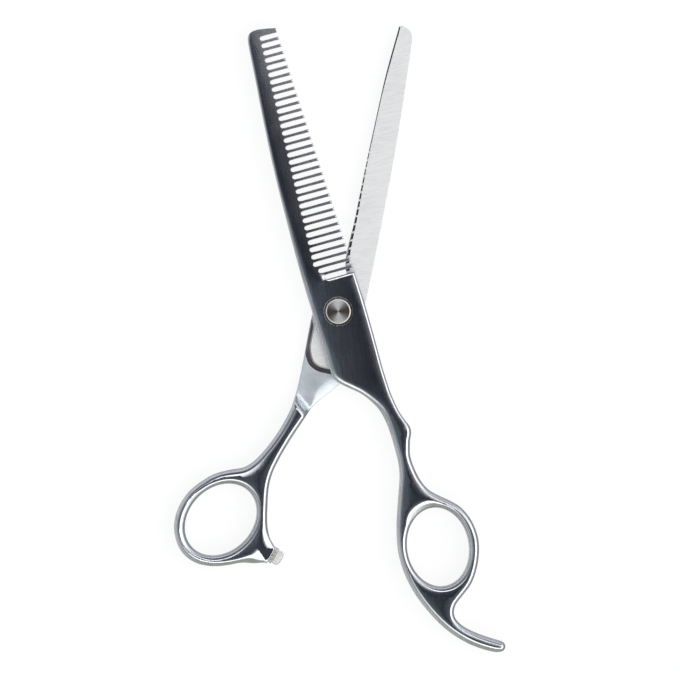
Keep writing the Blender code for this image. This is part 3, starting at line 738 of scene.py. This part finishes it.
def cutting_side(outline):
    """The cutting edge's points, from the pivot to the tip, and their inward normals."""
    y = outline.points[:, 1]
    keep = (outline.normals[:, 0] > 0.6) & (y > CUTTING_START) & (y < CUTTING_END)
    order = np.argsort(y[keep])
    return outline.points[keep][order], outline.normals[keep][order]


def plain_half(materials):
    """The blade's outline is taken at its cutting edge above the pivot and lower down below it."""
    level, above = PLAIN_LOW + 1.25, 11.0
    edge = section_loops("plain_blade", PLAIN_HIGH - EDGE_THICKNESS / 2)[0]
    body = section_loops("plain_blade", level)[0]
    blade = np.concatenate([run_where(edge, edge[:, 1] > above), run_where(body, body[:, 1] < above)])
    handle, ring = section_loops("thumb_handle", level)[:2]
    outline = half_outline(blade, handle, ring, plain_style)
    bore = ((BORE, PLAIN_HIGH), (BORE, REAR_FLOOR), (PIVOT_RECESS, REAR_FLOOR))
    edge_points, edge_normals = cutting_side(outline)
    land = edge_points + edge_normals * land_width(edge_points[:, 1])[:, None]
    lines = weld_lines(PLAIN_WELD) + pad_lines(PAD_LOOP) + [land]

    def finish(centres, facing):
        x, y, z = centres.T
        pad = pad_distance(x, y)
        satin = (facing[:, 2] > 0.95) & (z > PLAIN_HIGH - 0.05) & (pad < 0.0)
        by_edge = x < np.interp(y, land[:, 1], land[:, 0])
        relieved = (facing[:, 2] > 0.5) & (pad > 0.0) & (z > PLAIN_LOW + 1.0) \
            & (along_weld(PLAIN_WELD, x, y) < RAMP_LENGTH * SOFT_RAMP)
        return np.select([satin & by_edge & (y > CUTTING_START), satin,
                          relieved & (pad > PAD_STEP + GROOVE_WIDTH), relieved],
                         [LAND, GROUND, SHANK, GROOVE], POLISHED)

    piece = skin("plain_half_skin", outline, lines, plain_top, plain_bottom, materials, finish, bore)
    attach(piece, "plain_half")
    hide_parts("plain_blade", "thumb_handle")


# Turned pieces

def lathe(name, profile, material, matrix=Matrix(), closed=False, segments=128):
    """Solid of revolution about Z from a profile of radius and height, placed by the matrix."""
    verts, rings = [], []
    for radius, height in profile:
        turns = np.arange(segments if radius > 1e-6 else 1) * 2 * math.pi / segments
        rings.append([len(verts) + i for i in range(len(turns))])
        verts += [(radius * math.cos(turn) * MM, radius * math.sin(turn) * MM, height * MM)
                  for turn in turns]
    faces = []
    for upper, lower in zip(rings, rings[1:] + (rings[:1] if closed else [])):
        for i in range(segments):
            j = (i + 1) % segments
            corners = (upper[i % len(upper)], lower[i % len(lower)],
                       lower[j % len(lower)], upper[j % len(upper)])
            faces.append(list(dict.fromkeys(corners)))
    mesh = bpy.data.meshes.new(name)
    mesh.from_pydata(verts, [], faces)
    mesh.transform(matrix)
    mesh.materials.append(material)
    mesh.shade_smooth()
    mesh.set_sharp_from_angle(angle=math.radians(40.0))
    return linked(name, mesh)


def fillet(corner, before, after, radius, count=4):
    """Points round a profile's corner, on a curve that touches both its sides."""
    corner, before, after = (np.array(point, float) for point in (corner, before, after))
    start = corner + (before - corner) / np.linalg.norm(before - corner) * radius
    stop = corner + (after - corner) / np.linalg.norm(after - corner) * radius
    steps = np.linspace(0.0, 1.0, count + 1)
    return [tuple((1 - t) ** 2 * start + 2 * t * (1 - t) * corner + t * t * stop) for t in steps]


def rounded(profile, radius, closed=False):
    """The profile with its corners filleted, except for the ends of an open one."""
    result = []
    count = len(profile)
    for i, corner in enumerate(profile):
        if closed or 0 < i < count - 1:
            result += fillet(corner, profile[i - 1], profile[(i + 1) % count], radius)
        else:
            result.append(corner)
    return result


def ring_profile(node, bore, lift=0.0):
    """Section of a washer that fills its node's box; a lift makes it a shallow cone."""
    low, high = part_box(node)
    outer, bottom, top = high.x / MM, low.z / MM, high.z / MM
    return rounded(((bore, top - lift), (outer, top), (outer, bottom + lift), (bore, bottom)), 0.05,
                   closed=True)


def pivot_head(looks):
    """Turned head with a bright chamfer, on a barrel that is bored out for the thread."""
    low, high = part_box("pivot_post")
    radius, top, bottom = high.x / MM, high.z / MM, low.z / MM
    seat, chamfer, softening = COMB_HIGH - 0.33, 0.28, 0.06
    barrel, thread, thread_end = 2.20, 1.33, 4.60
    corners = ((0.0, top), (radius - chamfer, top), (radius, top - chamfer), (radius, seat),
               (barrel, seat), (barrel, bottom), (thread, bottom), (thread, thread_end),
               (0.0, thread_end))
    head = lathe("pivot_head", rounded(corners, softening), looks["turned"])
    head.data.materials.append(looks["rim"])
    for face in head.data.polygons:
        if face.center.xy.length > (radius - chamfer - softening) * MM and face.normal.z > 0.1:
            face.material_index = 1
    return head


def pivot_pieces(looks):
    made = [(pivot_head(looks), "pivot_post", "comb_half", "turned_steel")]
    washers = (("head_washer", BORE, 0.0, "warm_ring", "comb_half", "turned_steel"),
               ("glide_washer", BORE, 0.0, "washer_plastic", "comb_half", "washer_plastic"),
               ("spring_washer", 1.45, 0.20, "spring", "plain_half", "spring_steel"),
               ("flat_washer", 1.45, 0.0, "warm_ring", "plain_half", "turned_steel"))
    for node, bore, lift, look, body, slot in washers:
        ring = lathe(node + "_ring", ring_profile(node, bore, lift), looks[look], closed=True)
        made.append((ring, node, body, slot))
    for piece, node, body, slot in made:
        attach(piece, body)
        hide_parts(node)
    screw = nodes["tension_screw"]
    screw.data.materials.clear()
    screw.data.materials.append(looks["slotted"])


def bumper_pieces(looks):
    low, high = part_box("bumper_cap")
    matrix = Matrix.Translation(Vector((*BUMPER_BASE, RIDE_Z)) * MM) \
        @ Matrix.Rotation(BUMPER_TILT, 4, "Z") @ Matrix.Rotation(math.radians(90.0), 4, "Y")
    radius = (high.z - low.z) / MM / 2
    crown = [(0.0, 3.25), (1.2, 3.22), (1.75, 3.02), (2.05, 2.65), (2.18, 2.15), (2.20, 1.75),
             (2.10, 1.50), (2.10, 1.32), (2.28, 1.12), (2.40, 1.00)]
    foot = [(radius, 0.90), (radius, 0.62), (radius - 0.10, 0.52), (radius - 0.10, 0.44),
            (radius, 0.34), (radius, 0.06), (radius - 0.06, 0.0), (1.70, 0.0), (1.70, 1.15),
            (0.0, 1.15)]
    cap = lathe("bumper_moulding", crown + foot, looks["clear"], matrix)
    head = rounded(((0.0, 1.10), (1.65, 1.10), (1.65, 0.03), (0.90, 0.03), (0.90, -2.55),
                    (0.65, -2.80), (0.0, -2.80)), 0.08)
    screw = lathe("bumper_fixing", head, looks["brass"], matrix)
    for piece, node, slot in ((cap, "bumper_cap", "clear_plastic"), (screw, "bumper_screw", "brass")):
        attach(piece, "plain_half")
        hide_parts(node)


# Materials

class Nodes:
    """Shader nodes of a new material or world, and short ways to add and link them."""

    def __init__(self, owner, shader):
        owner.use_nodes = True
        self.owner, self.tree = owner, owner.node_tree
        self.shader = self.tree.nodes[shader]

    def add(self, kind, inputs=None, **settings):
        node = self.tree.nodes.new(kind)
        for key, value in settings.items():
            setattr(node, key, value)
        for key, value in (inputs or {}).items():
            if isinstance(value, bpy.types.NodeSocket):
                self.tree.links.new(value, node.inputs[key])
            else:
                node.inputs[key].default_value = value
        return node

    def drive(self, key, socket):
        """Link a socket to one of the shader's inputs."""
        self.tree.links.new(socket, self.shader.inputs[key])

    def math(self, operation, first, second=0.0, third=0.0):
        inputs = {0: first, 1: second, 2: third}
        return self.add("ShaderNodeMath", inputs, operation=operation).outputs[0]

    def vector_math(self, operation, inputs):
        return self.add("ShaderNodeVectorMath", inputs, operation=operation).outputs[0]

    def length(self, x, y):
        """Length of a level vector."""
        squares = self.math("ADD", self.math("POWER", x, 2.0), self.math("POWER", y, 2.0))
        return self.math("SQRT", squares)

    def ramp(self, fac, stops):
        node = self.add("ShaderNodeValToRGB", {"Fac": fac})
        elements = node.color_ramp.elements
        while len(elements) < len(stops):
            elements.new(0.5)
        for element, (place, colour) in zip(elements, stops):
            element.position = place
            element.color = (*colour, 1.0)
        return node.outputs["Color"]

    def mixed(self, share, first, second):
        """Colour between a socket's and a plain one."""
        return self.add("ShaderNodeMixRGB", {0: share, 1: first, 2: (*second, 1.0)}).outputs[0]

    def place(self, scale=(1.0, 1.0, 1.0), turn=0.0):
        """Object coordinates in metres, turned about Z and then stretched."""
        place = self.add("ShaderNodeTexCoord").outputs["Object"]
        turned = self.add("ShaderNodeMapping", {"Vector": place, "Rotation": (0.0, 0.0, turn)})
        spread = self.add("ShaderNodeMapping", {"Vector": turned.outputs[0], "Scale": scale})
        return spread.outputs[0]

    def noise(self, scale, detail=3.0, roughness=0.5, place=None):
        """Noise with this many waves to a metre."""
        node = self.add("ShaderNodeTexNoise", {"Vector": place or self.place(), "Scale": scale,
                                               "Detail": detail, "Roughness": roughness})
        return node.outputs["Fac"]

    def scratches(self, scale, turn, detail, roughness=0.5):
        """Noise drawn out into marks: waves to a metre across, along and through, and the turn."""
        return self.noise(1.0, detail, roughness, self.place(scale, math.radians(turn)))

    def bump(self, height, strength, depth, **inputs):
        """Normal of a surface with this relief, its depth in metres."""
        inputs = {"Height": height, "Strength": strength, "Distance": depth, **inputs}
        return self.add("ShaderNodeBump", inputs).outputs[0]


def steel(name, roughness=None, spread=0.08, colour=None, **inputs):
    """Nodes of a new metal; its roughness wanders by the spread, and its colour a little."""
    graph = Nodes(bpy.data.materials.new(name), "Principled BSDF")
    for key, value in {"Metallic": 1.0, **inputs}.items():
        graph.shader.inputs[key].default_value = value
    if roughness is not None:
        wander = graph.add("ShaderNodeMapRange", {"Value": graph.noise(90.0, 4.0, 0.6),
                                                  "From Min": 0.3, "From Max": 0.7,
                                                  "To Min": roughness, "To Max": roughness + spread})
        graph.drive("Roughness", wander.outputs[0])
    if colour:
        low = tuple(channel * 0.93 for channel in colour)
        high = tuple(min(1.0, channel * 1.05) for channel in colour)
        graph.drive("Base Color", graph.ramp(graph.noise(900.0, 5.0, 0.7), ((0.30, low), (0.70, high))))
    return graph


def polished_steel():
    """Mirror polish with hairlines along the blades, a barely wavy surface and warm specks."""
    graph = steel("polished_steel", 0.07, 0.07)
    specks = graph.noise(2600.0, 2.0, 0.7)
    patches = graph.noise(110.0, 2.0)
    warm = graph.math("MULTIPLY", graph.math("GREATER_THAN", specks, 0.57),
                      graph.math("GREATER_THAN", patches, 0.52))
    hairlines = graph.scratches((9000.0, 160.0, 900.0), -8.0, 2.0)
    mottle = graph.noise(1300.0, 3.0, 0.6)
    relief = graph.math("MULTIPLY_ADD", mottle, 6.5, hairlines)
    fine = graph.bump(relief, 0.06, 0.00002)
    graph.drive("Normal", graph.bump(graph.noise(55.0, 1.0), 0.10, 0.0004, Normal=fine))
    cloudy = graph.math("MULTIPLY_ADD", hairlines, 0.6, graph.math("MULTIPLY", specks, 0.4))
    clean = graph.ramp(cloudy, ((0.35, (0.46, 0.475, 0.51)), (0.65, (0.78, 0.80, 0.84))))
    shade = graph.mixed(graph.math("MULTIPLY", warm, 0.5), clean, (0.52, 0.40, 0.37))
    graph.drive("Base Color", shade)
    return graph.owner


def ground_steel():
    """Inner face of the plain blade: pale satin with fine marks across its length."""
    graph = steel("ground_steel", 0.46, 0.10, Metallic=0.26)
    lines = graph.scratches((260.0, 3400.0, 900.0), -12.5, 4.0, 0.7)
    graph.drive("Normal", graph.bump(lines, 0.4, 0.00004))
    graph.drive("Base Color", graph.ramp(lines, ((0.33, (0.87, 0.87, 0.87)), (0.58, (1.0, 0.998, 0.99)))))
    return graph.owner


def shank_steel():
    """Half-polished steel of the relieved shank, cloudy and bluish."""
    graph = steel("shank_steel", 0.36, 0.20, (0.84, 0.90, 0.95), Metallic=0.8)
    graph.drive("Normal", graph.bump(graph.noise(500.0, 4.0, 0.6), 0.15, 0.00006))
    return graph.owner


def groove_steel():
    """Relieved ring round the ride pad: bright but not mirror polished, with a warm cast."""
    graph = steel("groove_steel", 0.15, 0.16, (0.62, 0.575, 0.585))
    graph.drive("Normal", graph.bump(graph.noise(420.0), 0.2, 0.00008))
    return graph.owner


def land_steel():
    """Honed land along the cutting edge, with a painted reflection of the teeth as lighter, rougher
    dashes one tooth pitch apart.
    """
    reflected_length, reflection_share = 43.5 * MM, 0.26
    graph = steel("land_steel")
    place = graph.place(turn=math.radians(-12.8))
    along = graph.add("ShaderNodeSeparateXYZ", {0: place}).outputs["Y"]
    # Painted reflection: dashes one tooth pitch apart stand in for the teeth mirrored in the land; they
    # are also rougher
    pitch = graph.math("FRACT", graph.math("DIVIDE", along, TOOTH_PITCH * MM))
    painted_tooth_reflection = graph.math("MULTIPLY", graph.math("GREATER_THAN", pitch, 1 - reflection_share),
                     graph.math("LESS_THAN", along, reflected_length))
    wander = graph.noise(1500.0, place=place)
    rough = graph.math("ADD", graph.math("MULTIPLY", painted_tooth_reflection, 0.42), graph.math("MULTIPLY", wander, 0.2))
    graph.drive("Roughness", rough)
    graph.drive("Base Color", graph.ramp(painted_tooth_reflection, ((0.0, (0.50, 0.51, 0.54)), (1.0, (0.95, 0.95, 0.95)))))
    return graph.owner


def turned_steel(name, paint_slot_shade=False):
    """Face-turned head: rings of tool marks, with a painted bow-tie highlight and painted shade beside
    it.
    """
    graph = steel(name, 0.34, Anisotropic=0.7)
    tangent = graph.add("ShaderNodeTangent", direction_type="RADIAL", axis="Z")
    graph.drive("Tangent", tangent.outputs[0])
    x, y, z = graph.add("ShaderNodeSeparateXYZ", {0: graph.place()}).outputs
    outwards = graph.add("ShaderNodeCombineXYZ", {"X": graph.length(x, y)}).outputs[0]
    rings = graph.noise(7000.0, 4.0, 0.7, outwards)
    graph.drive("Normal", graph.bump(rings, 0.4, 0.00004))
    # Painted highlight: a bow-tie across the head, with painted shade beside it, set by the angle round
    # the axis
    turn = graph.math("MULTIPLY_ADD", graph.math("ARCTAN2", y, x), 2.0, 2.95)
    painted_bow_tie = graph.math("MULTIPLY_ADD", graph.math("COSINE", turn), 0.5, 0.5)
    rings_and_painted_bow_tie = graph.math("MULTIPLY_ADD", rings, 1.1, graph.math("MULTIPLY_ADD", painted_bow_tie, 0.9, -0.55))
    shade = graph.ramp(rings_and_painted_bow_tie, ((0.05, (0.10, 0.085, 0.075)), (0.45, (0.34, 0.32, 0.30)),
                                 (0.90, (1.0, 1.0, 0.98))))
    if paint_slot_shade:
        # Painted shade: the driver slot's floor and walls are darkened in the colour
        half_width, below_face = 0.46 * MM, 0.1 * MM
        within = graph.math("LESS_THAN", graph.math("ABSOLUTE", y), half_width)
        painted_slot_shade = graph.math("MULTIPLY", graph.math("GREATER_THAN", z, below_face), within)
        shade = graph.mixed(graph.math("MULTIPLY", painted_slot_shade, 0.85), shade, (0.02, 0.02, 0.02))
    graph.drive("Base Color", shade)
    return graph.owner


def plain_metal(name, colour, roughness):
    graph = steel(name, roughness, colour=colour)
    graph.drive("Normal", graph.bump(graph.noise(3000.0), 0.2, 0.00003))
    return graph.owner


def washer_plastic():
    return steel("washer_plastic", 0.42, colour=(0.84, 0.84, 0.80), Metallic=0.0).owner


def clear_plastic():
    """Clear moulding, slightly milky, with faint flow marks."""
    graph = steel("clear_plastic", 0.20, 0.12, (0.88, 0.88, 0.87), Metallic=0.0, IOR=1.46,
                  **{"Transmission Weight": 0.70})
    graph.drive("Normal", graph.bump(graph.noise(700.0), 0.3, 0.0001))
    return graph.owner


# Stage

def studio_sky():
    """A dark field straight overhead, bright soft boxes low around it, and a grey room below.

    Each compass side has its own run of colours by the angle from the zenith, in degrees.
    """
    zenith, white = (0.026, 0.0275, 0.036), (1.0, 1.0, 1.0)
    east = ((0, zenith), (3, (0.017, 0.0185, 0.023)), (5, (0.0095, 0.011, 0.0135)),
            (6.5, (0.015, 0.016, 0.020)), (10, (0.030, 0.0305, 0.037)),
            (15, (0.036, 0.0365, 0.046)), (22, (0.055, 0.056, 0.068)),
            (28, (0.095, 0.098, 0.112)), (31.5, white), (68, white), (74, (0.45, 0.46, 0.48)),
            (84, (0.45, 0.46, 0.48)), (88, (0.16, 0.16, 0.165)))
    north = ((0, zenith), (8, (0.018, 0.020, 0.028)), (14, (0.03, 0.03, 0.04)),
             (18, (0.5, 0.5, 0.5)), (21, white), (30, white), (34, (0.05, 0.055, 0.07)),
             (60, (0.05, 0.055, 0.07)), (76, (0.40, 0.42, 0.46)), (120, (0.25, 0.26, 0.27)))
    west = ((0, zenith), (3, (0.034, 0.037, 0.044)), (6, (0.045, 0.049, 0.058)),
            (14, (0.055, 0.061, 0.071)), (25, (0.060, 0.075, 0.085)),
            (45, (0.11, 0.125, 0.135)), (80, (0.33, 0.335, 0.34)))
    south = ((0, zenith), (8, (0.020, 0.024, 0.030)), (14, (0.04, 0.045, 0.05)),
             (28, (0.10, 0.115, 0.12)), (33, white), (48, white), (54, (0.20, 0.22, 0.20)),
             (90, (0.22, 0.24, 0.20)))
    graph = Nodes(bpy.data.worlds.new("studio"), "Background")
    bpy.context.scene.world = graph.owner
    direction = graph.add("ShaderNodeTexCoord").outputs["Generated"]
    x, y, z = graph.add("ShaderNodeSeparateXYZ", {0: direction}).outputs
    fall = graph.math("DIVIDE", graph.math("ARCCOSINE", z), math.pi)
    level = graph.math("MAXIMUM", graph.length(x, y), 1e-4)
    opposite_x, opposite_y = graph.math("MULTIPLY", x, -1.0), graph.math("MULTIPLY", y, -1.0)
    total = None
    for axis, stops in ((x, east), (y, north), (opposite_x, west), (opposite_y, south)):
        towards = graph.math("DIVIDE", axis, level)
        share = graph.math("POWER", graph.math("MAXIMUM", towards, 0.0), 2.0)
        run = graph.ramp(fall, [(angle / 180.0, colour) for angle, colour in stops])
        part = graph.vector_math("SCALE", {0: run, "Scale": share})
        total = graph.vector_math("ADD", {0: total, 1: part}) if total else part
    graph.drive("Color", total)
    graph.shader.inputs["Strength"].default_value = 2.1


def floor():
    """White paper just under the shears, kept out of the steel's reflections; in metres."""
    half, below = 3.0, -0.00005
    mesh = bpy.data.meshes.new("floor")
    mesh.from_pydata([(-half, -half, below), (half, -half, below), (half, half, below),
                      (-half, half, below)], [], [(0, 1, 2, 3)])
    paper = {"Base Color": (0.16, 0.16, 0.16, 1.0), "Emission Color": (1.0, 1.0, 1.0, 1.0),
             "Emission Strength": 0.88, "Specular IOR Level": 0.1, "Roughness": 0.9}
    mesh.materials.append(steel("paper", Metallic=0.0, **paper).owner)
    plane = linked("floor", mesh)
    plane.visible_glossy = False


def camera():
    """Straight down, far away, with the whole of the shears filling the frame's height."""
    view_width, distance = 197.2, 1500.0
    middle_x, middle_y = 0.49, -8.27
    data = bpy.data.cameras.new("camera")
    data.sensor_width = 36.0
    data.lens = data.sensor_width * (distance - RIDE_Z) / view_width
    data.clip_end = 10.0
    rig = bpy.data.objects.new("camera", data)
    rig.location = (middle_x * MM, middle_y * MM, distance * MM)
    bpy.context.scene.collection.objects.link(rig)
    bpy.context.scene.camera = rig


bpy.context.scene.view_settings.view_transform = "Standard"
polished = polished_steel()
comb_half([polished])
plain_half([polished, ground_steel(), shank_steel(), land_steel(), groove_steel()])
looks = {
    "turned": turned_steel("turned_steel"),
    "slotted": turned_steel("slot_shaded_steel", paint_slot_shade=True),
    "warm_ring": plain_metal("washer_steel", (0.50, 0.44, 0.38), 0.12),
    "rim": plain_metal("rim_steel", (0.96, 0.92, 0.86), 0.42),
    "spring": plain_metal("spring_steel", (0.40, 0.40, 0.42), 0.35),
    "brass": plain_metal("brass", (0.74, 0.56, 0.32), 0.28),
    "washer_plastic": washer_plastic(),
    "clear": clear_plastic(),
}
pivot_pieces(looks)
bumper_pieces(looks)
studio_sky()
floor()
camera()
